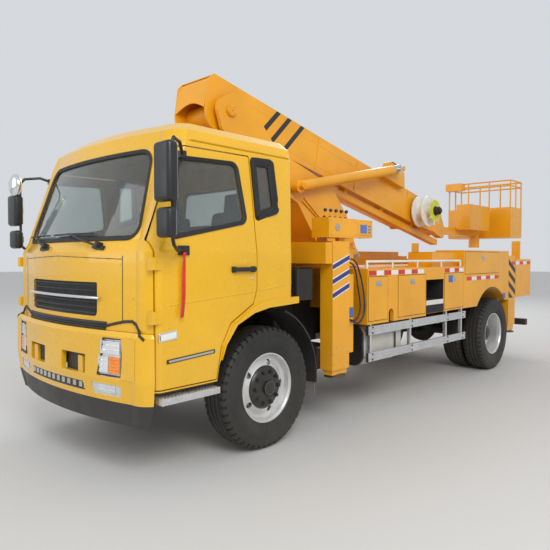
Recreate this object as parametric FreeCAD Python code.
import FreeCAD, Part
import math
import os

# Aerial work platform truck, 4x2 with twin rear tyres, boom stowed over the cab.
# Millimetres.  +X forward, +Y to the left, +Z up.  While the truck is drawn, X = 0 is the
# front axle and Z = 0 the ground; place() then moves the origin to the middle of the length.

# ---- driving dimensions -----------------------------------------------------------------
WHEELBASE = 4700
FRAME_OVERHANG = 1500
DECK_OVERHANG = 150
REAR_LEG_OVERHANG = 675
TYRE_R = 525
TYRE_HALF = 140
RIM_R = 300
RIM_HALF = 117
BEAD_R = 288
FRONT_WHEEL_Y = 960
REAR_WHEEL_Y = 885
TWIN_OFFSET = 155
KINGPIN_Y = 780
KINGPIN_R = 20
SPINDLE_R = 44

CAB_HALF = 1130
CAB_FRONT = 1345
CAB_FLOOR = 1242
FLOOR_THICK = 40
CAB_WALL = 45
DOOR_WALL = 55
DOOR_GAP = 10
HINGE_X = 1165
HINGE_PIN_R = 4.8
HINGE_LOW = (1180, 1560)
HINGE_LONG = 90
HINGE_DEEP = 44
BUMPER_FRONT = 1400

RAIL_Y = 430
RAIL_LOW = 720
RAIL_TOP = 950
FRAME_FRONT = 1180
FRAME_REAR = -WHEELBASE - FRAME_OVERHANG
SUBFRAME_TOP = 1090
BODY_HALF = 1170
LOCKER_IN = 760
DECK_TOP = 1530
DECK_FRONT = -1380
DECK_REAR = -WHEELBASE - DECK_OVERHANG

SLEW_X = -1970
SLEW_TOP = 1700
SPIGOT_R = 400
SPIGOT_HIGH = 24
PIVOT_X = -240
PIVOT_Z = 3080
PIVOT_R = 60
STOW_DEG = 12.2
BOOM_HALF = 250
BOOM_UP = 310
BOOM_DOWN = 120
BOOM_TAIL = 250
BOOM_END = 4060
BOOM_STEP = 22
BOOM_WALL = 8
TURRET_Y = 300
TURRET_WALL = 40

LOW_PIN = (-1150, 2420)
LOW_PIN_R = 38
TIP_S = 4860
TIP_T = 40
TIP_PIN_R = 30
HIGH_PIN_S = 2950
HIGH_PIN_T = 395
CYLINDER_Y = 420
CYLINDER_R = 62
EYE_HALF = 40
ROD_R = 38

FRONT_LEG_X = -925
REAR_LEG_X = -WHEELBASE - REAR_LEG_OVERHANG
HOUSING_PITCH = 290
LEG_HALF = 135
LEG_DEPTH = 150
FOOT_LOW = 480

BASKET_FRONT = -6840
BASKET_REAR = -7400
BASKET_HALF = 600
BASKET_FLOOR = 2010
BASKET_PANEL = 2570
BASKET_RAIL = 3070
SWING_X = -6660
SWING_TOP = 2310
SWING_PIN_R = 50

FRONT_END = BUMPER_FRONT
REAR_END = BASKET_REAR
ORIGIN_X = (FRONT_END + REAR_END) / 2

# Radial clearance of a pin in its hole, gap between faces that slide or rest, free clearance.
FIT = 0.05
SLIDE = 0.3
PLAY = 6

STOW = math.radians(STOW_DEG)
UP = FreeCAD.Vector(0, 0, 1)


# ---- helpers ----------------------------------------------------------------------------
def vec(x, y, z):
    return FreeCAD.Vector(x, y, z)


def box(x0, x1, y0, y1, z0, z1):
    """Block between two values on each axis, given in either order."""
    low = vec(min(x0, x1), min(y0, y1), min(z0, z1))
    return Part.makeBox(abs(x1 - x0), abs(y1 - y0), abs(z1 - z0), low)


def rod(start, end, radius):
    axis = end - start
    return Part.makeCylinder(radius, axis.Length, start, axis)


def join(shapes):
    return shapes[0].fuse(list(shapes[1:])).removeSplitter() if len(shapes) > 1 else shapes[0]


def group(shapes):
    """Solids that stay apart, kept together in one node."""
    return Part.makeCompound(shapes)


def both_sides(shape):
    """The shape and its mirror image across the truck's middle plane."""
    return [shape, mirrored(shape)]


def mirrored(shape):
    return shape.mirror(vec(0, 0, 0), vec(0, 1, 0))


def to_space(axis, u, v, level):
    return {"x": vec(level, u, v), "y": vec(u, level, v), "z": vec(u, v, level)}[axis]


def outline(points, axis, level):
    """Closed wire through (u, v, corner radius) points, each corner rounded by a tangent arc."""
    corners = []
    count = len(points)
    for i, (u, v, radius) in enumerate(points):
        here = vec(u, v, 0)
        back = (vec(*points[i - 1][:2], 0) - here).normalize()
        ahead = (vec(*points[(i + 1) % count][:2], 0) - here).normalize()
        if radius == 0:
            corners.append((here, here, here))
            continue
        half = back.getAngle(ahead) / 2
        reach = radius / math.tan(half)
        middle = here + (back + ahead).normalize() * (radius / math.sin(half) - radius)
        corners.append((here + back * reach, middle, here + ahead * reach))
    edges = []
    for i, (start, middle, end) in enumerate(corners):
        a, m, b = (to_space(axis, p.x, p.y, level) for p in (start, middle, end))
        if start.distanceToPoint(end) > 0.01:
            edges.append(Part.Arc(a, m, b).toShape())
        after = corners[(i + 1) % count][0]
        if end.distanceToPoint(after) > 0.01:
            edges.append(Part.makeLine(b, to_space(axis, after.x, after.y, level)))
    return Part.Wire(edges)


def prism(points, axis, low, high):
    """Outline extruded along x, y or z; points are (u, v) or (u, v, corner radius)."""
    full = [tuple(p) + (0,) * (3 - len(p)) for p in points]
    face = Part.Face(outline(full, axis, low))
    return face.extrude(to_space(axis, 0, 0, high - low))


def rounded_box(x0, x1, y0, y1, z0, z1, radius, axis):
    """Box whose four edges along one axis are rounded."""
    spans = {"x": (y0, y1, z0, z1, x0, x1), "y": (x0, x1, z0, z1, y0, y1), "z": (x0, x1, y0, y1, z0, z1)}
    a0, a1, b0, b1, low, high = spans[axis]
    corners = [(a0, b0, radius), (a1, b0, radius), (a1, b1, radius), (a0, b1, radius)]
    return prism(corners, axis, low, high)


def lathe(points, centre):
    """(radius, y) outline turned about an axle line along y through centre."""
    ring = [centre + vec(r, y, 0) for r, y in points]
    face = Part.Face(Part.makePolygon(ring + ring[:1]))
    return face.revolve(centre, vec(0, 1, 0), 360)


def tube_run(points, radius):
    """Round bar through corner points, with a ball at each inner corner."""
    parts = [rod(a, b, radius) for a, b in zip(points, points[1:])]
    parts += [Part.makeSphere(radius, p) for p in points[1:-1]]
    return join(parts)


def on_boom(s, t, y=0):
    """Point s along the stowed boom towards the basket and t above its pivot line."""
    x = PIVOT_X - s * math.cos(STOW) - t * math.sin(STOW)
    z = PIVOT_Z - s * math.sin(STOW) + t * math.cos(STOW)
    return vec(x, y, z)


def boom_prism(points, y0, y1):
    """Side outline in boom coordinates (s, t[, radius]) extruded across the boom."""
    spaced = []
    for p in points:
        q = on_boom(p[0], p[1])
        spaced.append((q.x, q.z) + tuple(p[2:]))
    return prism(spaced, "y", y0, y1)


def boom_box(s0, s1, y0, y1, t0, t1):
    return boom_prism([(s0, t0), (s1, t0), (s1, t1), (s0, t1)], y0, y1)


# ---- wheels -----------------------------------------------------------------------------
# Tyre half section: (radius, distance from the tyre's middle plane), bead to tread.
TYRE_SECTION = [
    (BEAD_R, 104), (301, 106), (308, 118), (345, TYRE_HALF - 6), (410, TYRE_HALF),
    (470, TYRE_HALF - 4), (TYRE_R - 14, TYRE_HALF - 18), (TYRE_R - 1, 104), (TYRE_R, 60),
]
# Well and flanges of the rim, outer side first.
RIM_SECTION = [
    (RIM_R, RIM_HALF), (RIM_R, 108), (BEAD_R, 104), (BEAD_R, -104), (RIM_R, -108), (RIM_R, -RIM_HALF),
    (290, -RIM_HALF), (279, -100), (272, -60), (272, 60), (279, 100), (290, RIM_HALF),
]
HAND_HOLES = 5
FRONT_DISC = [(90, 92), (165, 92), (190, 72), (240, 52), (275, 58), (275, 44), (238, 38), (184, 58), (160, 78),
              (90, 78)]
REAR_DISC = [(90, -131), (176, -131), (206, -112), (275, -62), (275, -78), (212, -126), (182, -144), (90, -144)]


def tyre_ring(x, y):
    half = TYRE_SECTION
    other = [(r, -w) for r, w in reversed(half)]
    return lathe(half + other, vec(x, y, TYRE_R))


def rim_shell(x, y, disc, facing):
    """Rim with its disc; facing is +1 when the disc's outside looks to +y."""
    centre = vec(x, y, TYRE_R)
    well = lathe([(r, facing * w) for r, w in RIM_SECTION], centre)
    plate = lathe([(r, facing * w) for r, w in disc], centre)
    for i in range(HAND_HOLES):
        turn = 2 * math.pi * i / HAND_HOLES + 0.6
        at = centre + vec(216 * math.cos(turn), -200, 216 * math.sin(turn))
        plate = plate.cut(Part.makeCylinder(27, 400, at, vec(0, 1, 0)))
    return well.fuse(plate)


def front_wheel(side):
    y = side * FRONT_WHEEL_Y
    centre = vec(0, y, TYRE_R)
    drum = [(SPINDLE_R + FIT, -118), (205, -118), (212, 20), (150, 34), (150, 100), (62, 112), (58, 142),
            (0, 142), (0, 104), (SPINDLE_R + FIT, 104)]
    hub = lathe([(r, side * w) for r, w in drum], centre)
    return rim_shell(0, y, FRONT_DISC, side).fuse(hub).removeSplitter(), tyre_ring(0, y)


def rear_wheel(side):
    """Twin wheels, both discs bolted together at the hub."""
    middle = side * REAR_WHEEL_Y
    outer = rim_shell(-WHEELBASE, middle + side * TWIN_OFFSET, REAR_DISC, side)
    inner = rim_shell(-WHEELBASE, middle - side * TWIN_OFFSET, REAR_DISC, -side)
    drum = [(SPINDLE_R + FIT, -280), (205, -280), (208, -40), (176, -11), (176, 24), (112, 40), (108, 168),
            (60, 196), (0, 196), (0, 160), (SPINDLE_R + FIT, 160)]
    hub = lathe([(r, side * w) for r, w in drum], vec(-WHEELBASE, middle, TYRE_R))
    tyres = [tyre_ring(-WHEELBASE, middle + s * TWIN_OFFSET) for s in (1, -1)]
    return outer.fuse([inner, hub]).removeSplitter(), group(tyres)


LUG_R = 48
LUG_GAP = 66
LUG_HIGH = 40


def knuckle(side):
    """Steering knuckle: two lugs round the kingpin, web, spindle, and steering arm."""
    y = side * KINGPIN_Y
    parts = []
    for low in (TYRE_R + LUG_GAP, TYRE_R - LUG_GAP - LUG_HIGH):
        parts.append(Part.makeCylinder(LUG_R, LUG_HIGH, vec(0, y, low)))
        parts.append(box(-LUG_R, LUG_R, y, side * (KINGPIN_Y + 50), low, low + LUG_HIGH))
    parts.append(box(-60, 60, side * (KINGPIN_Y + 52), side * (KINGPIN_Y + 36), TYRE_R - 106, TYRE_R + 106))
    start = vec(0, side * (KINGPIN_Y + 40), TYRE_R)
    parts.append(rod(start, vec(0, side * (FRONT_WHEEL_Y + 98), TYRE_R), SPINDLE_R))
    parts.append(box(-230, -40, side * (KINGPIN_Y - 60), side * (KINGPIN_Y + 50), TYRE_R - 106, TYRE_R - 80))
    whole = join(parts)
    for low in (TYRE_R + LUG_GAP, TYRE_R - LUG_GAP - LUG_HIGH):
        whole = whole.cut(Part.makeCylinder(KINGPIN_R + FIT, LUG_HIGH + 2, vec(0, y, low - 1)))
    return whole


# ---- chassis ----------------------------------------------------------------------------
CROSS_X = (1140, -1250, -2000, -3300, 550 - WHEELBASE, REAR_LEG_X + 125, FRAME_REAR + 35)
CAB_MOUNT_X = (900, -150)
TOW_HOLE_R = 18


def chassis_frame():
    """Channel rails, cross members, cab mounts, tow eyes, and the rear underrun bar."""
    flange, thick = 75, 9
    channel = [(RAIL_Y, RAIL_LOW), (RAIL_Y, RAIL_TOP), (RAIL_Y - flange, RAIL_TOP), (RAIL_Y - flange, RAIL_TOP - thick),
               (RAIL_Y - thick, RAIL_TOP - thick), (RAIL_Y - thick, RAIL_LOW + thick),
               (RAIL_Y - flange, RAIL_LOW + thick), (RAIL_Y - flange, RAIL_LOW)]
    parts = both_sides(prism(channel, "x", FRAME_REAR, FRAME_FRONT))
    for x in CROSS_X:
        parts.append(box(x - 35, x + 35, thick - RAIL_Y, RAIL_Y - thick, RAIL_LOW + 110, RAIL_TOP - 30))
    for x in CAB_MOUNT_X:
        parts += both_sides(box(x - 50, x + 50, RAIL_Y - 70, RAIL_Y, RAIL_TOP, CAB_FLOOR))
    parts.append(box(FRAME_REAR - 90, FRAME_REAR, 70 - BODY_HALF, BODY_HALF - 70, 510, 610))
    parts += both_sides(box(FRAME_REAR, FRAME_REAR + 50, RAIL_Y - 70, RAIL_Y, 510, RAIL_LOW))
    eye = box(FRAME_REAR - 80, FRAME_REAR, -20, 20, RAIL_LOW + 130, RAIL_TOP - 30)
    hole = rod(vec(FRAME_REAR - 45, -30, RAIL_LOW + 165), vec(FRAME_REAR - 45, 30, RAIL_LOW + 165), TOW_HOLE_R)
    return join(parts + [eye]).cut(hole)


LEAF = 16
LEAF_WIDE = 80
LEAF_RISE = 80
AXLE_TUBE_R = 78
FRONT_SEAT = 560


def leaf_pack(x, length, count, low):
    """Curved leaves, each shorter than the one above, clamped over the axle seat at height low."""
    leaves = []
    top = low + LEAF * count
    for i in range(count):
        half = length / 2 * (1 - 0.15 * i)
        rise = LEAF_RISE * (half / (length / 2)) ** 2
        z = top - LEAF * i
        start, end = vec(x - half, 0, z + rise), vec(x + half, 0, z + rise)
        upper = Part.Arc(start, vec(x, 0, z), end).toShape()
        lower = Part.Arc(end - UP * LEAF, vec(x, 0, z - LEAF), start - UP * LEAF).toShape()
        rim = Part.Wire([upper, Part.makeLine(end, end - UP * LEAF), lower,
                         Part.makeLine(start - UP * LEAF, start)])
        leaves.append(Part.Face(rim).extrude(vec(0, LEAF_WIDE, 0)))
    clamp = box(x - 60, x + 60, -8, LEAF_WIDE + 8, low, top + 14)
    return join(leaves + [clamp])


def leaf_springs():
    """Front packs under the rails, rear packs outside them, each with two hangers."""
    packs = []
    for x, length, count, low, y, hang in (
            (0, 1500, 4, FRONT_SEAT, RAIL_Y - 82, RAIL_LOW),
            (-WHEELBASE, 1500, 6, TYRE_R + AXLE_TUBE_R, RAIL_Y + 8, RAIL_LOW + 120)):
        pack = leaf_pack(x, length, count, low)
        tips = low + LEAF * count + LEAF_RISE - 25
        for e in (-1, 1):
            end = x + e * (length / 2 - 20)
            inner = 0 if hang == RAIL_LOW else -8
            pack = pack.fuse(box(end - 40, end + 40, inner, LEAF_WIDE, tips, max(hang, tips + 20)))
        packs += both_sides(pack.removeSplitter().translate(vec(0, y, 0)))
    return group(packs)


def front_axle():
    """Forged beam, dropped between the springs, with a boss and a kingpin at each end."""
    low = TYRE_R - 55
    half = [(KINGPIN_Y, low), (KINGPIN_Y, low + 110), (KINGPIN_Y - 60, low + 110), (RAIL_Y + 60, FRONT_SEAT, 40)]
    under = [(RAIL_Y + 90, low - 60, 60), (KINGPIN_Y - 60, low)]
    right = half + [(-y, z, *r) for y, z, *r in reversed(half)]
    left = [(-y, z, *r) for y, z, *r in reversed(under)] + under
    beam = prism(right + left, "x", -45, 45)
    ends = []
    for s in (-1, 1):
        ends.append(Part.makeCylinder(KINGPIN_R + 10, 120, vec(0, s * KINGPIN_Y, TYRE_R - 60)))
        ends.append(Part.makeCylinder(KINGPIN_R, 232, vec(0, s * KINGPIN_Y, TYRE_R - 116)))
    return join([beam] + ends)


def rear_axle():
    """Banjo housing with tubes running into both hubs and a seat under each spring."""
    centre = vec(-WHEELBASE, 0, TYRE_R)
    banjo = [(0, -150), (120, -140), (205, -80), (225, 0), (205, 80), (120, 140), (0, 150)]
    ring = [centre + vec(y, 0, r) for r, y in banjo]
    face = Part.Face(Part.makePolygon(ring + ring[:1]))
    housing = face.revolve(centre, vec(1, 0, 0), 360)
    tube = rod(centre - vec(0, 590, 0), centre + vec(0, 590, 0), AXLE_TUBE_R)
    spindle = rod(centre - vec(0, REAR_WHEEL_Y + 150, 0), centre + vec(0, REAR_WHEEL_Y + 150, 0), SPINDLE_R)
    pinion = rod(centre + vec(140, 0, 0), centre + vec(330, 0, 0), 70)
    seats_y = (RAIL_Y, RAIL_Y + 96)
    pads = both_sides(box(-WHEELBASE - 60, -WHEELBASE + 60, *seats_y, TYRE_R, TYRE_R + AXLE_TUBE_R))
    return join([housing, tube, spindle, pinion] + pads)


def drivetrain():
    """Engine as one plain block on four feet between the rails, gearbox, and propeller shaft."""
    engine = box(-430, 760, -330, 330, 640, CAB_FLOOR - 60)
    feet = []
    for x in (560, -300):
        feet += both_sides(box(x - 40, x + 40, 320, RAIL_Y - 9, RAIL_LOW + 9, RAIL_LOW + 45))
    gearbox = prism([(-430, 660), (-430, 1000), (-980, 920), (-980, 700)], "y", -170, 170)
    shaft = rod(vec(-970, 0, 790), vec(-WHEELBASE + 350, 0, TYRE_R), 45)
    flange = box(-WHEELBASE + 330, -WHEELBASE + 370, -50, 50, TYRE_R - 50, TYRE_R + 50)
    return join([engine, gearbox, shaft, flange] + feet)


# Outriggers: side of the leg, x, bottom and top of the housing, bottom and top of the leg
# casing, and the side that the hose channel stands on (0 for none).
OUTRIGGERS = {
    "front_left": (1, FRONT_LEG_X, 1560, 1800, 560, 1800, -1),
    "front_right": (-1, FRONT_LEG_X - HOUSING_PITCH, 1560, 1800, 560, 1800, 1),
    "rear_left": (1, REAR_LEG_X, 1000, 1240, 600, 1670, 0),
    "rear_right": (-1, REAR_LEG_X - HOUSING_PITCH, 1000, 1240, 600, 1670, 0),
}
HOUSING_WALL = 10
HOUSING_REACH = BODY_HALF - LEG_DEPTH - 10
LEG_WALL = 11
COLLAR = 70


def subframe():
    """Box beams on the rails, outrigger housings across them, and the slewing pedestal."""
    parts = both_sides(box(FRAME_REAR, -560, RAIL_Y - 90, RAIL_Y, RAIL_TOP, SUBFRAME_TOP))
    bores = []
    for side, x, low, high, leg_low, leg_top, channel in OUTRIGGERS.values():
        parts.append(box(x - LEG_HALF, x + LEG_HALF, -HOUSING_REACH, HOUSING_REACH, low, high))
        bores.append(box(x - LEG_HALF + HOUSING_WALL, x + LEG_HALF - HOUSING_WALL, -side * (HOUSING_REACH - 20),
                         side * (HOUSING_REACH + 1), low + HOUSING_WALL, high - HOUSING_WALL))
        if low > SUBFRAME_TOP:
            parts += both_sides(box(x - LEG_HALF, x + LEG_HALF, RAIL_Y - 90, RAIL_Y, SUBFRAME_TOP, low))
    ahead = FRONT_LEG_X + LEG_HALF
    parts.append(box(ahead, ahead + 10, -HOUSING_REACH, HOUSING_REACH, 1560, 1800))
    parts.append(box(ahead + 10, ahead + 110, -BODY_HALF, BODY_HALF, 1590, 1790))
    parts.append(Part.makeCone(530, 500, SLEW_TOP - SUBFRAME_TOP - 60, vec(SLEW_X, 0, SUBFRAME_TOP)))
    parts.append(Part.makeCylinder(540, 60, vec(SLEW_X, 0, SLEW_TOP - 60)))
    parts.append(Part.makeCylinder(SPIGOT_R, SPIGOT_HIGH, vec(SLEW_X, 0, SLEW_TOP)))
    parts.append(box(SLEW_X - 700, SLEW_X + 700, 90 - RAIL_Y, RAIL_Y - 90, SUBFRAME_TOP - 30, SUBFRAME_TOP))
    whole = join(parts)
    for bore in bores:
        whole = whole.cut(bore)
    return whole


def outrigger_beam(side, x, low, high, leg_low, leg_top, channel):
    """Sliding beam in its housing, with the vertical leg casing and hose channel at its end."""
    inset = HOUSING_WALL + PLAY
    inner = side * (BODY_HALF - LEG_DEPTH)
    tail = -side * (HOUSING_REACH - 40)
    parts = [box(x - LEG_HALF + inset, x + LEG_HALF - inset, tail, inner, low + inset, high - inset)]
    inset = HOUSING_WALL + SLIDE
    parts.append(box(x - LEG_HALF + inset, x + LEG_HALF - inset, tail, tail + side * COLLAR,
                     low + inset, high - inset))
    parts.append(box(x - LEG_HALF, x + LEG_HALF, inner, side * BODY_HALF, leg_low, leg_top))
    if channel:
        edge = x + channel * LEG_HALF
        parts.append(box(edge, edge + channel * 140, inner + side * 40, inner + side * 100,
                         leg_low + 130, low - 80))
    bore = box(x - LEG_HALF + LEG_WALL, x + LEG_HALF - LEG_WALL, inner + side * LEG_WALL,
               side * (BODY_HALF - LEG_WALL), leg_low - 1, leg_top - 30)
    return join(parts).cut(bore)


def jack_leg(side, x, low, high, leg_low, leg_top, channel):
    """Inner leg in its casing, with a guide collar at its top and a round foot."""
    parts = []
    for gap, bottom in ((LEG_WALL + PLAY, FOOT_LOW + 30), (LEG_WALL + SLIDE, leg_top - 45 - COLLAR)):
        parts.append(box(x - LEG_HALF + gap, x + LEG_HALF - gap, side * (BODY_HALF - LEG_DEPTH + gap),
                         side * (BODY_HALF - gap), bottom, leg_top - 45))
    parts.append(Part.makeCone(105, 62, 30, vec(x, side * (BODY_HALF - LEG_DEPTH / 2), FOOT_LOW)))
    return join(parts)


def fuel_tank():
    """Strapped tank under the front locker, and the tool box ahead of it, on rail brackets."""
    body = rounded_box(-2180, -1400, 620, 1090, 500, 925, 110, "x")
    straps = [rounded_box(x, x + 50, 612, 1098, 492, 933, 116, "x") for x in (-1560, -2060)]
    bracket = box(-2140, -1440, RAIL_Y, 625, 730, 790)
    tools = rounded_box(-1000, -730, 700, 1010, 560, 780, 12, "y")
    lid = box(-990, -740, 1010, 1016, 575, 765)
    arm = box(-980, -760, RAIL_Y, 700, 740, 775)
    return group([join([body, bracket] + straps), join([tools, lid, arm])])


def chassis_boxes():
    """Air cleaner and battery box behind the cab, and the air tanks on the right."""
    upper = rounded_box(-650, -420, 480, 1050, 1250, 1540, 25, "z")
    lower = rounded_box(-680, -480, 480, 700, 860, 1255, 25, "z")
    rack = box(-660, -500, RAIL_Y, 490, 870, 930)
    whole = [join([upper, lower, rack]), mirrored(join([lower, rack]))]
    for x in (-1650, -2600):
        tank = rod(vec(x, -780, 720), vec(x + 780, -780, 720), 145)
        whole.append(join([tank, box(x + 300, x + 480, -780, -RAIL_Y, 740, 800)]))
    return group(whole)


LOCKER_LOW = 950


def side_guards():
    """Ribbed aluminium rails on posts, both sides."""
    front, rear, high = -1400, -3720, 90
    parts = []
    for low in (560, 840):
        rail = box(rear, front, BODY_HALF - 24, BODY_HALF, low, low + high)
        for groove in (low + 26, low + 56):
            rail = rail.cut(box(rear - 1, front + 1, BODY_HALF - 6, BODY_HALF + 1, groove, groove + 8))
        parts.append(rail)
    for x, top in ((-1480, LOCKER_LOW), (-2300, LOCKER_LOW), (-3200, LOCKER_LOW + 20), (-3640, LOCKER_LOW + 20)):
        parts.append(box(x - 18, x + 18, BODY_HALF - 60, BODY_HALF - 24, 555, top))
    return group(both_sides(join(parts)))


def mudguards():
    """Curved flaps behind the front wheels."""
    inner, outer = 680, 694
    first, last = math.radians(110), math.radians(186)
    centre = vec(0, 740, TYRE_R)

    def at(radius, turn):
        return centre + vec(radius * math.cos(turn), 0, radius * math.sin(turn))

    mid = (first + last) / 2
    wire = Part.Wire([
        Part.Arc(at(outer, first), at(outer, mid), at(outer, last)).toShape(),
        Part.makeLine(at(outer, last), at(inner, last)),
        Part.Arc(at(inner, last), at(inner, mid), at(inner, first)).toShape(),
        Part.makeLine(at(inner, first), at(outer, first)),
    ])
    flap = Part.Face(wire).extrude(vec(0, 320, 0))
    stay = rod(vec(-620, RAIL_Y, 820), vec(-620, 745, 820), 15)
    return group(both_sides(join([flap, stay])))


# ---- bodywork behind the cab ------------------------------------------------------------
ARCH_X = 100 - WHEELBASE
ARCH_R = 660
ARCH_Z = 560
RECESS_FRONT = -2620
RECESS_REAR = -3080
RECESS_Y = 860
REAR_BOX_TOP = 1620
COLUMN_REAR = REAR_LEG_X + LEG_HALF + 8


def cabinets():
    """Side lockers over the frame, cut away round the rear wheels, with a step recess."""
    # X front, X rear, inner Y, outer Y, bottom, top
    table = (
        (DECK_FRONT, RECESS_FRONT, LOCKER_IN, BODY_HALF, LOCKER_LOW, DECK_TOP),
        (RECESS_FRONT, RECESS_REAR, LOCKER_IN, BODY_HALF, 1380, DECK_TOP),
        (RECESS_FRONT, RECESS_REAR, LOCKER_IN, RECESS_Y, LOCKER_LOW + 20, DECK_TOP),
        (RECESS_FRONT, RECESS_REAR, LOCKER_IN, BODY_HALF - 6, LOCKER_LOW + 20, 1100),
        (RECESS_REAR, DECK_REAR, LOCKER_IN, BODY_HALF, LOCKER_LOW + 20, DECK_TOP),
        (-2910, -3650, LOCKER_IN, BODY_HALF - 80, DECK_TOP, 1710),
        (-3650, COLUMN_REAR, LOCKER_IN, BODY_HALF, DECK_TOP, 1745),
        (DECK_REAR, COLUMN_REAR, LOCKER_IN, BODY_HALF, 1000, DECK_TOP),
    )
    side = join([box(*row) for row in table])
    side = side.cut(Part.makeCylinder(ARCH_R, 900, vec(ARCH_X, 500, ARCH_Z), vec(0, 1, 0)))
    notch = [(-1890, 940), (-1790, 940), (-1790, 1090, 49), (-1890, 1090, 49)]
    side = side.cut(prism(notch, "y", BODY_HALF - 60, BODY_HALF + 1))
    start = REAR_LEG_X - LEG_HALF - 20
    behind = start - HOUSING_PITCH
    inner = BODY_HALF - LEG_DEPTH - 15
    rear = [box(start, FRAME_REAR, -inner, inner, 1250, REAR_BOX_TOP),
            box(start, FRAME_REAR, inner, BODY_HALF, 1250, REAR_BOX_TOP),
            box(behind, FRAME_REAR, -BODY_HALF, -inner, 1250, REAR_BOX_TOP),
            box(start, behind, HOUSING_REACH + 15, BODY_HALF, 1020, 1250)]
    rear += both_sides(box(behind, FRAME_REAR, 560, BODY_HALF, 1020, 1250))
    rear += both_sides(box(FRAME_REAR + 20, FRAME_REAR + 60, 880, 1010, REAR_BOX_TOP, 1920))
    housing_top = OUTRIGGERS["rear_left"][3]
    cover = box(COLUMN_REAR - 8, start + 5, -BODY_HALF, -LOCKER_IN, housing_top, 1670)
    return group([side, mirrored(side), cover, join(rear)])


def deck():
    """Chequered floor between the lockers on bearers, open round the pedestal, with a boom rest."""
    rear = REAR_LEG_X - LEG_HALF - 20
    parts = [box(rear, DECK_FRONT, -LOCKER_IN, LOCKER_IN, DECK_TOP - 20, DECK_TOP)]
    for x in (-1400, -2850, -3700, ARCH_X, REAR_LEG_X + 275):
        parts.append(box(x - 20, x + 20, -LOCKER_IN, LOCKER_IN, SUBFRAME_TOP, DECK_TOP - 20))
    parts += both_sides(box(-4840, -4740, 170, 260, DECK_TOP, 1700))
    parts.append(box(-4860, -4720, -260, 260, 1700, 1736))
    return join(parts).cut(Part.makeCylinder(545, 80, vec(SLEW_X, 0, DECK_TOP - 50)))


def handrails():
    """White safety rails along both edges of the deck."""
    y = BODY_HALF - 25
    z = DECK_TOP + 75
    path = [vec(DECK_FRONT - 20, y, DECK_TOP), vec(DECK_FRONT - 20, y, z), vec(-3590, y, z),
            vec(-3590, y, DECK_TOP)]
    posts = [rod(vec(x, y, DECK_TOP), vec(x, y, z), 11) for x in (-1900, -2450, -3050)]
    return group(both_sides(join([tube_run(path, 14)] + posts)))


def control_station():
    """Ground controls beside the turret: valve cabinet, display, and lever row."""
    parts = [box(-1200, -730, 960, BODY_HALF, 1840, 2030), box(-1490, -1200, 980, BODY_HALF - 20, 1850, 2030)]
    for x in (-1150, -850):
        parts.append(box(x - 50, x + 50, 965, HOUSING_REACH, 1800, 1840))
    for i in range(5):
        x = -790 - i * 85
        parts.append(rod(vec(x, 1065, 2025), vec(x, 1078, 2100), 7))
        parts.append(Part.makeSphere(17, vec(x, 1079, 2106)))
    return join(parts)


# Hoses of the front left leg, each out of the casing's rear face and back into it lower down:
# (x, z) corners in a plane along the truck.
HOSE_R = 8
HOSE_ROUTES = {
    "post_hose_1": (BODY_HALF - 12, [(-1060, 1635), (-1165, 1635), (-1240, 1530), (-1300, 1390), (-1345, 1225),
                                     (-1350, 1065), (-1250, 970), (-1140, 1010), (-1060, 1010)]),
    "post_hose_2": (BODY_HALF - 35, [(-1060, 1600), (-1165, 1600), (-1225, 1495), (-1255, 1350), (-1300, 1200),
                                     (-1300, 1080), (-1215, 1000), (-1105, 1030), (-1060, 1030)]),
}


def hose(y, route):
    """Straight runs joined by tangent arcs, each as large as 0.45 of its shorter run allows."""
    spots = [vec(x, y, z) for x, z in route]
    edges = []
    last = spots[0]
    for back, here, ahead in zip(spots, spots[1:], spots[2:]):
        before, after = (back - here), (ahead - here)
        reach = 0.45 * min(before.Length, after.Length)
        before.normalize()
        after.normalize()
        half = before.getAngle(after) / 2
        radius = reach * math.tan(half)
        middle = here + (before + after).normalize() * (radius / math.sin(half) - radius)
        edges.append(Part.makeLine(last, here + before * reach))
        edges.append(Part.Arc(here + before * reach, middle, here + after * reach).toShape())
        last = here + after * reach
    edges.append(Part.makeLine(last, spots[-1]))
    path = Part.Wire(edges)
    ring = Part.Wire(Part.makeCircle(HOSE_R, spots[0], spots[1] - spots[0]))
    return path.makePipeShell([ring], True, False)


# ---- cab --------------------------------------------------------------------------------
# Plan sections of the cab's outside: height, nose at the middle, nose at the corner,
# half width at the corner, start of the straight side, half width, rear wall.
CAB_PLAN = [
    (690, CAB_FRONT, 1220, 950, 1130, CAB_HALF - 6, -275),
    (1110, CAB_FRONT, 1220, 950, 1130, CAB_HALF, -275),
    (1690, CAB_FRONT - 5, 1215, 950, 1120, CAB_HALF + 4, -278),
    (1780, CAB_FRONT - 55, 1168, 925, 1080, CAB_HALF - 4, -282),
    (2500, 1030, 945, 850, 860, 1062, -338),
    (2610, 1000, 915, 820, 815, 1030, -345),
    (2680, 915, 830, 745, 730, 945, -320),
    (2725, 770, 690, 600, 600, 780, -245),
    (2750, 520, 460, 380, 400, 520, -90),
]


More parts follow.
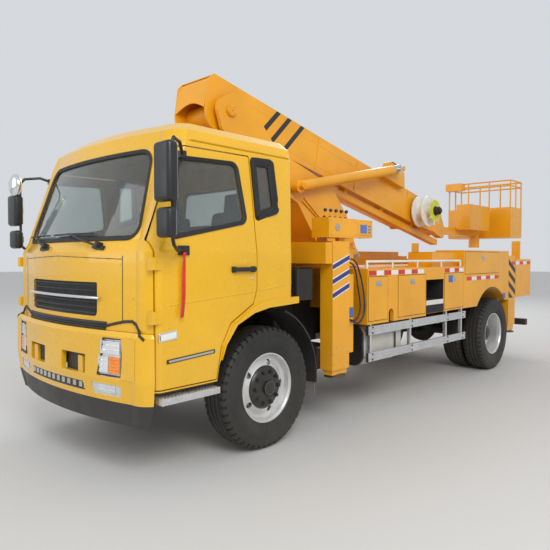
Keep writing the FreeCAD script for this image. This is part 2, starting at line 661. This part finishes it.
def plan_wire(z, nose, corner, corner_y, side, half, rear):
    """Bowed nose, rounded corners, straight sides, and a flat rear wall."""
    turn = 60
    mid = 0.72
    def corner_mid(s):
        return vec(side + (corner - side) * mid, s * (corner_y + (half - corner_y) * 0.66), z)
    edges = [
        Part.Arc(vec(corner, -corner_y, z), vec(nose, 0, z), vec(corner, corner_y, z)).toShape(),
        Part.Arc(vec(corner, corner_y, z), corner_mid(1), vec(side, half, z)).toShape(),
        Part.makeLine(vec(side, half, z), vec(rear + turn, half, z)),
        Part.Arc(vec(rear + turn, half, z), vec(rear + turn * 0.293, half - turn * 0.293, z),
                 vec(rear, half - turn, z)).toShape(),
        Part.makeLine(vec(rear, half - turn, z), vec(rear, turn - half, z)),
        Part.Arc(vec(rear, turn - half, z), vec(rear + turn * 0.293, turn * 0.293 - half, z),
                 vec(rear + turn, -half, z)).toShape(),
        Part.makeLine(vec(rear + turn, -half, z), vec(side, -half, z)),
        Part.Arc(vec(side, -half, z), corner_mid(-1), vec(corner, -corner_y, z)).toShape(),
    ]
    return Part.Wire(edges)


def cab_envelope(inset, sections):
    """Outside of the cab moved inwards by inset, as one ruled loft."""
    wires = []
    for z, nose, corner, corner_y, side, half, rear in sections:
        drop = inset if z > 2500 else 0
        wires.append(plan_wire(z - drop, nose - inset, corner - inset, corner_y - inset * 0.5, side - inset * 0.5,
                               half - inset, rear + inset))
    return Part.makeLoft(wires, True, True)


def door_outline(gap):
    """Side view of the door, from its lower front corner round to the wheel arch."""
    front = HINGE_X + 7
    return [(front - gap, 700 + gap), (front - gap, 1770), (925 - gap, 2478 - gap, 40), (212 + gap, 2486 - gap, 20),
            (180 + gap, 1640), (180 + gap, 1390), (222 + gap, 1262 + gap), (470 + gap, 1122 + gap, 60),
            (566 + gap, 960), (612 + gap, 700 + gap)]


WINDOW = [(1050, 1782, 45), (922, 2382, 60), (362, 2402, 60), (290, 1936, 60)]
QUARTER = [(168, 1945, 20), (-112, 2035, 60), (-62, 2486, 20), (190, 2480, 20)]
SCREEN = [(-900, 1792, 110), (900, 1792, 110), (795, 2462, 110), (-795, 2462, 110)]
REAR_WINDOW = [(-480, 1960, 70), (480, 1960, 70), (480, 2330, 70), (-480, 2330, 70)]
ARCH_LIP = [(-420, 1240), (50, 1222), (222, 1190), (412, 1108), (530, 960), (590, 812), (612, 690), (1400, 600),
            (-420, 600)]
FLARE = [(-330, 1242), (50, 1224), (222, 1192), (412, 1110), (530, 962), (575, 850), (548, 960), (460, 1108),
         (222, 1248), (50, 1290), (-330, 1300)]


def cab_shell():
    """One-piece skin with door, window, wheel arch and grille openings, floor, and arch flares."""
    outside = cab_envelope(0, CAB_PLAN)
    lower = [(600,) + CAB_PLAN[0][1:]] + CAB_PLAN[1:]
    shell = outside.cut(cab_envelope(CAB_WALL, lower))
    cuts = [prism(SCREEN, "x", 700, 1500), prism(REAR_WINDOW, "x", -500, -200),
            prism(ARCH_LIP, "y", -1300, 1300), box(1172, 1500, -1300, 1300, 600, 1112)]
    for s in (-1, 1):
        cuts.append(prism(door_outline(0), "y", s * 880, s * 1300))
        cuts.append(prism(QUARTER, "y", s * 900, s * 1300))
    for shape in cuts:
        shell = shell.cut(shape)
    floor = outside.common(box(-400, 1400, -1060, 1060, CAB_FLOOR, CAB_FLOOR + FLOOR_THICK))
    for s in (-1, 1):
        floor = floor.cut(box(HINGE_X - 155, 1180, s * 880, s * 1300, CAB_FLOOR - 1, CAB_FLOOR + FLOOR_THICK + 1))
    extras = both_sides(prism(FLARE, "y", CAB_HALF - 40, CAB_HALF + 16))
    hinge_y = CAB_HALF + 4
    seat = HINGE_X + HINGE_PIN_R + SLIDE
    for low in HINGE_LOW:
        extras += both_sides(box(seat, HINGE_X + 50, hinge_y - HINGE_DEEP, hinge_y, low, low + HINGE_LONG))
    return join([shell, floor] + extras).cut(prism(GRILLE, "x", 1200, 1500))


GRILLE = [(-550, 1205, 40), (550, 1205, 40), (550, 1462, 12), (-550, 1462, 12)]


def grille():
    """Mesh panel set in the nose with the bright bar across it."""
    layer = cab_envelope(14, CAB_PLAN[1:4]).cut(cab_envelope(30, [(1000,) + CAB_PLAN[1][1:]] + CAB_PLAN[2:4]))
    panel = layer.common(prism(GRILLE, "x", 1200, 1500))
    bars = []
    for i in range(6):
        z = 1225 + i * 42
        bars.append(cab_envelope(4, CAB_PLAN[1:3]).common(box(1200, 1500, -545, 545, z, z + 12)))
    bars = [b.cut(cab_envelope(22, [(1000,) + CAB_PLAN[1][1:]] + CAB_PLAN[2:4])) for b in bars]
    return join([panel] + bars)


def cab_glass():
    """Windscreen, quarter windows and rear window, set in their openings."""
    layer = cab_envelope(12, CAB_PLAN).cut(cab_envelope(18, [(600,) + CAB_PLAN[0][1:]] + CAB_PLAN[1:]))
    panes = [layer.common(prism(SCREEN, "x", 700, 1500)), layer.common(prism(REAR_WINDOW, "x", -500, -200))]
    for s in (-1, 1):
        panes.append(layer.common(prism(QUARTER, "y", s * 900, s * 1300)))
    return group(panes)


# Inner end of the door's front edge.
DOOR_EDGE_Y = 1000


def door(side):
    layer = cab_envelope(0, CAB_PLAN[:6]).cut(cab_envelope(DOOR_WALL, [(600,) + CAB_PLAN[0][1:]] + CAB_PLAN[1:6]))
    leaf = layer.common(prism(door_outline(DOOR_GAP), "y", side * DOOR_EDGE_Y, side * 1300))
    leaf = leaf.cut(prism(WINDOW, "y", side * 900, side * 1300))
    hinge_y = side * (CAB_HALF + 4)
    for low in HINGE_LOW:
        plate = box(HINGE_X - 55, HINGE_X - 2, hinge_y - side * HINGE_DEEP, hinge_y, low, low + HINGE_LONG)
        pin = rod(vec(HINGE_X, hinge_y, low), vec(HINGE_X, hinge_y, low + HINGE_LONG), HINGE_PIN_R)
        leaf = leaf.fuse(plate).fuse(pin)
    return leaf.removeSplitter()


def door_glass(side):
    layer = cab_envelope(14, CAB_PLAN[:6]).cut(cab_envelope(20, [(600,) + CAB_PLAN[0][1:]] + CAB_PLAN[1:6]))
    return layer.common(prism(WINDOW, "y", side * 900, side * 1300))


# Plan sections of the bumper, from its bottom edge up.
BUMPER_PLAN = [
    (600, BUMPER_FRONT - 20, 1262, 950, 1170, CAB_HALF - 12, 1000),
    (760, BUMPER_FRONT, 1278, 955, 1175, CAB_HALF, 1000),
    (1080, BUMPER_FRONT - 8, 1270, 955, 1175, CAB_HALF, 1000),
    (1110, BUMPER_FRONT - 30, 1250, 950, 1170, CAB_HALF - 10, 1000),
]


def bumper():
    outside = cab_envelope(0, BUMPER_PLAN)
    deeper = [(560,) + BUMPER_PLAN[0][1:]] + BUMPER_PLAN[1:3] + [(1140,) + BUMPER_PLAN[3][1:]]
    shell = outside.cut(cab_envelope(40, deeper))
    shell = shell.cut(box(900, 1184, -1300, 1300, 500, 1200))
    slots = [[(-450, 655, 20), (450, 655, 20), (450, 712, 20), (-450, 712, 20)]]
    for s in (-1, 1):
        slots.append([(s * 150, 775, 12), (s * 150, 920, 12), (s * 480, 920, 12), (s * 480, 775, 12)])
    for slot in slots:
        shell = shell.cut(prism(slot, "x", 1250, 1500))
    for s in (-1, 1):
        shell = shell.cut(lamp_block(s))
    mounts = both_sides(box(FRAME_FRONT, 1362, 360, RAIL_Y, RAIL_LOW + 10, RAIL_TOP - 50))
    return join([shell] + mounts)


HEADLAMP = [(620, 780, 25), (1010, 780, 25), (1010, 1065, 25), (690, 1065, 60)]
FOGLAMP = [(555, 640, 12), (860, 640, 12), (860, 722, 12), (540, 722, 12)]


def lamp_block(side):
    blocks = []
    for form in (HEADLAMP, FOGLAMP):
        blocks.append(prism([(side * y, z, r) for y, z, r in form], "x", 1195, 1500))
    return blocks[0].fuse(blocks[1])


def lamps():
    """Head and fog lamps set in the bumper, and the marker lamp at each door's foot."""
    body = cab_envelope(6, BUMPER_PLAN)
    inner = cab_envelope(70, [(560,) + BUMPER_PLAN[0][1:]] + BUMPER_PLAN[1:3] + [(1140,) + BUMPER_PLAN[3][1:]])
    layer = body.cut(inner)
    return group([s for side in (-1, 1) for s in layer.common(lamp_block(side)).Solids])


def valance():
    """Black lower apron under the bumper."""
    plan = [(425, BUMPER_FRONT - 60, 1225, 920, 1150, CAB_HALF - 50, 1000),
            (600, BUMPER_FRONT - 20, 1262, 950, 1170, CAB_HALF - 12, 1000)]
    outside = cab_envelope(0, plan)
    inside = cab_envelope(45, [(400,) + plan[0][1:], (620,) + plan[1][1:]])
    apron = outside.cut(inside).cut(box(900, 1184, -1300, 1300, 400, 700))
    return apron


def cab_steps():
    """Step wells behind the door bottoms with an aluminium tread on each side."""
    well = box(640, 1050, 760, 1040, 700, CAB_FLOOR)
    well = well.cut(box(660, 1030, 790, 1041, 730, 930)).cut(box(660, 1030, 790, 1041, 960, CAB_FLOOR - 20))
    tread = box(630, 1160, 850, 1180, 610, 660)
    stays = [box(x, x + 40, 860, 900, 655, 705) for x in (700, 1000)]
    return group(both_sides(join([well, tread] + stays)))


def seats():
    parts = []
    for y, half in ((560, 240), (-480, 330)):
        base = rounded_box(-60, 440, y - half, y + half, 1400, 1520, 40, "y")
        back = prism([(-60, 1480, 30), (60, 1480, 30), (-50, 2080, 40), (-150, 2080, 40)], "y", y - half, y + half)
        head = prism([(-80, 2050, 20), (-40, 2050, 20), (-60, 2240, 30), (-140, 2240, 30)], "y", y - 120, y + 120)
        stand = box(40, 340, y - half + 80, y + half - 80, CAB_FLOOR + FLOOR_THICK, 1405)
        parts.append(join([base, back, head, stand]))
    return group(parts)


def dashboard():
    """Moulded board across the cab on its console, with the steering column and wheel."""
    form = [(760, 1560, 30), (800, 1760, 40), (1160, 1740, 20), (1240, 1400, 20), (860, 1400, 20)]
    board = prism(form, "y", -900, 900)
    base = box(900, 1200, -900, 900, CAB_FLOOR + FLOOR_THICK, 1405)
    room = cab_envelope(CAB_WALL + 8, CAB_PLAN)
    axis = vec(-0.62, 0, 0.78)
    centre = vec(632, 560, 1810)
    column = rod(vec(800, 560, 1600), vec(640, 560, 1800), 30)
    wheel = Part.makeTorus(215, 16, centre, axis)
    hub = Part.makeCylinder(60, 30, centre + vec(8, 0, -15), axis)
    spokes = [rod(centre - d * 210, centre + d * 210, 12) for d in (vec(0, 1, 0), axis.cross(vec(0, 1, 0)))]
    return join([board.fuse(base).common(room), column, wheel, hub] + spokes)


def mirror_set(side):
    """Two mirror heads on a tubular arm bolted to the door."""
    path = [vec(905, 1085, 2405), vec(1000, 1180, 2470), vec(1150, 1300, 2450), vec(1150, 1300, 1740),
            vec(1040, 1200, 1700), vec(940, 1140, 1700)]
    parts = [tube_run(path, 13), box(890, 985, 1100, 1150, 1665, 1735), box(875, 930, 1040, 1100, 2375, 2430)]
    parts.append(rounded_box(1165, 1255, 1215, 1400, 2020, 2420, 35, "z"))
    parts.append(rounded_box(1165, 1245, 1225, 1385, 1780, 1985, 35, "z"))
    parts += [box(1140, 1175, 1280, 1320, z, z + 60) for z in (2180, 1850)]
    whole = join(parts).cut(cab_envelope(0, CAB_PLAN[:6]))
    return whole if side > 0 else mirrored(whole)


# ---- turret and boom --------------------------------------------------------------------
def turret():
    """Turntable plate, two side plates leaning forward over the cab, cross plates and pins."""
    under = SLEW_TOP + SLIDE
    low = SLEW_TOP + 46
    base = Part.makeCylinder(520, 50, vec(SLEW_X, 0, under))
    base = base.cut(Part.makeCylinder(SPIGOT_R + SLIDE, SPIGOT_HIGH + SLIDE, vec(SLEW_X, 0, under - SLIDE)))
    side = [(SLEW_X - 400, low), (SLEW_X - 190, 2160, 300), (SLEW_X + 130, 2500, 200), (-900, 2790, 100),
            (PIVOT_X - 330, PIVOT_Z + 60, 60), (PIVOT_X - 60, PIVOT_Z + 200, 120), (PIVOT_X + 190, PIVOT_Z + 60, 120),
            (PIVOT_X + 100, PIVOT_Z - 220, 90), (-620, 2790, 60), (-1010, 2500, 60), (-1000, 2360, 50),
            (-1240, 2250, 60), (-1640, low)]
    parts = [base] + both_sides(prism(side, "y", TURRET_Y, TURRET_Y + TURRET_WALL))
    back = [(SLEW_X - 400, low), (SLEW_X - 380, low), (SLEW_X - 170, 2150), (SLEW_X - 190, 2160)]
    front = [(-1670, low), (-1640, low), (-1250, 2240), (-1280, 2250)]
    parts += [prism(form, "y", -TURRET_Y, TURRET_Y) for form in (back, front)]
    end = TURRET_Y + 60
    parts.append(rod(vec(PIVOT_X, -end, PIVOT_Z), vec(PIVOT_X, end, PIVOT_Z), PIVOT_R))
    end = CYLINDER_Y + 95
    parts.append(rod(vec(LOW_PIN[0], -end, LOW_PIN[1]), vec(LOW_PIN[0], end, LOW_PIN[1]), LOW_PIN_R))
    return join(parts)


def boom_base():
    """Outer boom section with its pivot boss and the brackets for the lifting rods."""
    side = [(-BOOM_TAIL, BOOM_UP - 70, 20), (-BOOM_TAIL + 50, BOOM_UP, 20), (BOOM_END, BOOM_UP), (BOOM_END, -BOOM_DOWN),
            (900, -BOOM_DOWN, 200), (150, -235, 120), (-170, -210, 150), (-BOOM_TAIL + 20, -60, 60)]
    solid = boom_prism(side, -BOOM_HALF, BOOM_HALF)
    hollow = boom_box(500, BOOM_END + 1, BOOM_WALL - BOOM_HALF, BOOM_HALF - BOOM_WALL, BOOM_WALL - BOOM_DOWN,
                      BOOM_UP - BOOM_WALL)
    tail_open = boom_box(-BOOM_TAIL - 1, 480, 25 - BOOM_HALF, BOOM_HALF - 25, -400, BOOM_UP - 25)
    boss = rod(on_boom(0, 0, PLAY - TURRET_Y), on_boom(0, 0, TURRET_Y - PLAY), 110)
    bore = rod(on_boom(0, 0, -TURRET_Y - 80), on_boom(0, 0, TURRET_Y + 80), PIVOT_R + FIT)
    parts = [solid.cut(hollow).cut(tail_open).fuse(boss).cut(bore)]
    ear = [(2780, BOOM_UP - 60), (3320, BOOM_UP - 60), (3260, 470, 60), (2860, 500, 60)]
    parts += both_sides(boom_prism(ear, BOOM_HALF - 1, CYLINDER_Y - 80))
    face = CYLINDER_Y - EYE_HALF - SLIDE
    parts += both_sides(rod(on_boom(HIGH_PIN_S, HIGH_PIN_T, CYLINDER_Y - 90),
                            on_boom(HIGH_PIN_S, HIGH_PIN_T, face), 46))
    saddle = [(2780, BOOM_UP - 2), (3320, BOOM_UP - 2), (3230, 400, 30), (2880, 400, 30)]
    parts.append(boom_prism(saddle, -BOOM_HALF, BOOM_HALF))
    rib = boom_box(BOOM_END - 60, BOOM_END, -BOOM_HALF - 14, BOOM_HALF + 14, -BOOM_DOWN - 14, BOOM_UP + 14)
    return join(parts + [rib.cut(hollow)])


def boom_section(index):
    """Inner box section number index (1 next to the base), on wear pads in the one around it."""
    inset = BOOM_STEP * index
    start = 520 + 110 * index
    end = BOOM_END + 190 * index
    parts = []
    pad = BOOM_STEP * (index - 1) + BOOM_WALL + SLIDE
    for gap, last in ((inset, end), (pad, start + 90)):
        parts.append(boom_box(start, last, gap - BOOM_HALF, BOOM_HALF - gap, gap - BOOM_DOWN, BOOM_UP - gap))
    tube = join(parts)
    gap = inset + BOOM_WALL
    if index < 3:
        return tube.cut(boom_box(start - 1, end + 1, gap - BOOM_HALF, BOOM_HALF - gap,
                                 gap - BOOM_DOWN, BOOM_UP - gap))
    head = boom_prism([(end - 60, BOOM_UP - inset), (end + 60, BOOM_UP + 40, 30), (end + 330, 60, 60),
                       (end + 300, -90, 50), (end - 60, inset - BOOM_DOWN)], inset - BOOM_HALF, BOOM_HALF - inset)
    slot = boom_box(end + 60, end + 400, -70, 70, -300, 400)
    hole = rod(on_boom(TIP_S, TIP_T, -300), on_boom(TIP_S, TIP_T, 300), TIP_PIN_R + FIT)
    return tube.fuse(head).cut(slot).cut(hole).removeSplitter()


# Distance from the barrels' mouths to the pins of the rod eyes when stowed.
MOUTH_BACK = 130


def lift_cylinders():
    """Barrels between the turret's lower pins, rods to the ears on the boom."""
    low = vec(LOW_PIN[0], 0, LOW_PIN[1])
    high = on_boom(HIGH_PIN_S, HIGH_PIN_T)
    line = high - low
    reach = line.Length
    line.normalize()
    across = vec(0, EYE_HALF, 0)
    mouth = reach - MOUTH_BACK
    barrels, rods = [], []
    for s in (-1, 1):
        foot = low + vec(0, s * CYLINDER_Y, 0)
        head = high + vec(0, s * CYLINDER_Y, 0)
        barrel = rod(foot + line * 40, foot + line * mouth, CYLINDER_R)
        barrel = barrel.cut(rod(foot + line * 300, foot + line * (mouth - 50), ROD_R + PLAY))
        barrel = barrel.cut(rod(foot + line * 300, foot + line * reach, ROD_R + FIT))
        barrel = barrel.fuse(rod(foot - across, foot + across, 70))
        barrels.append(barrel.cut(rod(foot - across * 2, foot + across * 2, LOW_PIN_R + FIT)).removeSplitter())
        eye = rod(head - across, head + across, 62)
        cap = rod(head + across * s, head + across * s * 1.5, 34)
        rods.append(join([rod(foot + line * 320, head - line * 40, ROD_R), eye, cap]))
    return group(barrels), group(rods)


def hose_reel():
    """Spring hose reel on the left of the boom's end."""
    centre = on_boom(3860, 60)
    drum = [(0, 300), (225, 300), (225, 316), (120, 322), (120, 440), (222, 446), (222, 462), (75, 470), (75, 560),
            (0, 560)]
    reel = lathe(drum, centre)
    bracket = boom_box(3760, 3960, BOOM_HALF, 300, -20, 140)
    return join([reel, bracket])


TRAY_Y = 90


def cable_tray():
    """Hose carrier rail under the boom, ending in its rounded turn."""
    rail = boom_prism([(1750, -150), (2100, -BOOM_DOWN - 36, 40), (4700, -BOOM_DOWN - 36, 10),
                       (4760, -BOOM_DOWN - 90, 40),
                       (4700, -BOOM_DOWN - 125, 40), (1750, -BOOM_DOWN - 105)], TRAY_Y, TRAY_Y + 100)
    hangers = [boom_box(s, s + 60, TRAY_Y, TRAY_Y + 100, -BOOM_DOWN - 60, -BOOM_DOWN) for s in (2150, 3000, 3850)]
    return join([rail] + hangers)


# ---- basket -----------------------------------------------------------------------------
def basket_mount():
    """Levelling bracket: arm pinned in the boom head, valve box, and the swing column."""
    tip = on_boom(TIP_S, TIP_T)
    half = 64
    parts = [rod(tip - vec(0, half, 0), tip + vec(0, half, 0), 75),
             rod(tip - vec(0, 190, 0), tip + vec(0, 190, 0), TIP_PIN_R)]
    parts.append(box(SWING_X, tip.x, -half, half, 2040, 2160))
    parts.append(Part.makeCylinder(95, SWING_TOP - 1830, vec(SWING_X, 0, 1830)))
    parts.append(Part.makeCylinder(SWING_PIN_R, 140, vec(SWING_X, 0, SWING_TOP)))
    parts.append(box(-6540, -5720, 90, 330, 2130, 2560))
    parts.append(box(-6400, -6000, -half, 100, 2140, 2200))
    return join(parts)


def basket():
    """Work platform: solid lower panels, bar rails above, open top."""
    outer = box(BASKET_REAR, BASKET_FRONT, -BASKET_HALF, BASKET_HALF, BASKET_FLOOR, BASKET_PANEL)
    inner = box(BASKET_REAR + 20, BASKET_FRONT - 20, -BASKET_HALF + 20, BASKET_HALF - 20, BASKET_FLOOR + 20,
                BASKET_PANEL + 1)
    tub = outer.cut(inner)
    bars = []
    r = 13
    corners = [vec(x, y, 0) for x, y in ((BASKET_FRONT - r, BASKET_HALF - r), (BASKET_REAR + r, BASKET_HALF - r),
                                         (BASKET_REAR + r, -BASKET_HALF + r), (BASKET_FRONT - r, -BASKET_HALF + r))]
    for level in (BASKET_RAIL - r, BASKET_RAIL - 110):
        lift = vec(0, 0, level)
        for a, b in zip(corners, corners[1:] + corners[:1]):
            bars.append(rod(a + lift, b + lift, r))
    for a, b in zip(corners, corners[1:] + corners[:1]):
        for share in ((0, 0.33, 0.67) if abs(a.y - b.y) > 1 else (0, 0.5)):
            foot = a + (b - a) * share
            bars.append(rod(foot + vec(0, 0, BASKET_PANEL - 20), foot + vec(0, 0, BASKET_RAIL - r), r))
    desk = box(BASKET_FRONT - 30, BASKET_FRONT + 130, -BASKET_HALF, 320 - BASKET_HALF, 2930, BASKET_RAIL - 10)
    hinge = box(BASKET_FRONT, SWING_X + 60, -100, 100, SWING_TOP + SLIDE, SWING_TOP + 110)
    hinge = hinge.cut(Part.makeCylinder(SWING_PIN_R + FIT, 200, vec(SWING_X, 0, SWING_TOP - 10)))
    return join([tub, desk, hinge] + bars)


# ---- nodes ------------------------------------------------------------------------------
def place(shape):
    return shape.translated(vec(-ORIGIN_X, 0, 0))


def nodes():
    made = {
        "chassis_frame": chassis_frame(), "subframe": subframe(), "front_axle": front_axle(),
        "rear_axle": rear_axle(), "leaf_springs": leaf_springs(), "drivetrain": drivetrain(),
        "fuel_tank": fuel_tank(), "chassis_boxes": chassis_boxes(),
        "side_guards": side_guards(), "mudguards": mudguards(),
        "cabinets": cabinets(), "deck": deck(), "handrails": handrails(),
        "control_station": control_station(), "cab_shell": cab_shell(), "cab_glass": cab_glass(),
        "grille": grille(), "bumper": bumper(), "lamps": lamps(), "valance": valance(),
        "cab_steps": cab_steps(), "seats": seats(), "dashboard": dashboard(),
        "turret": turret(), "boom_base": boom_base(), "hose_reel": hose_reel(), "cable_tray": cable_tray(),
        "basket_mount": basket_mount(), "basket": basket(),
    }
    for index in (1, 2, 3):
        made["boom_section_%d" % (index + 1)] = boom_section(index)
    made["lift_barrels"], made["lift_rods"] = lift_cylinders()
    for name, side in (("left", 1), ("right", -1)):
        made["door_" + name] = door(side)
        made["door_glass_" + name] = door_glass(side)
        made["mirror_" + name] = mirror_set(side)
        made["knuckle_" + name] = knuckle(side)
        made["rim_front_" + name], made["tyre_front_" + name] = front_wheel(side)
        made["rim_rear_" + name], made["tyres_rear_" + name] = rear_wheel(side)
    for name, row in OUTRIGGERS.items():
        made["beam_" + name] = outrigger_beam(*row)
        made["jack_" + name] = jack_leg(*row)
    for name, (y, route) in HOSE_ROUTES.items():
        made[name] = hose(y, route)
    return made


os.makedirs("parts", exist_ok=True)
for node_name, node_shape in nodes().items():
    place(node_shape).exportStep(os.path.join("parts", node_name + ".step"))
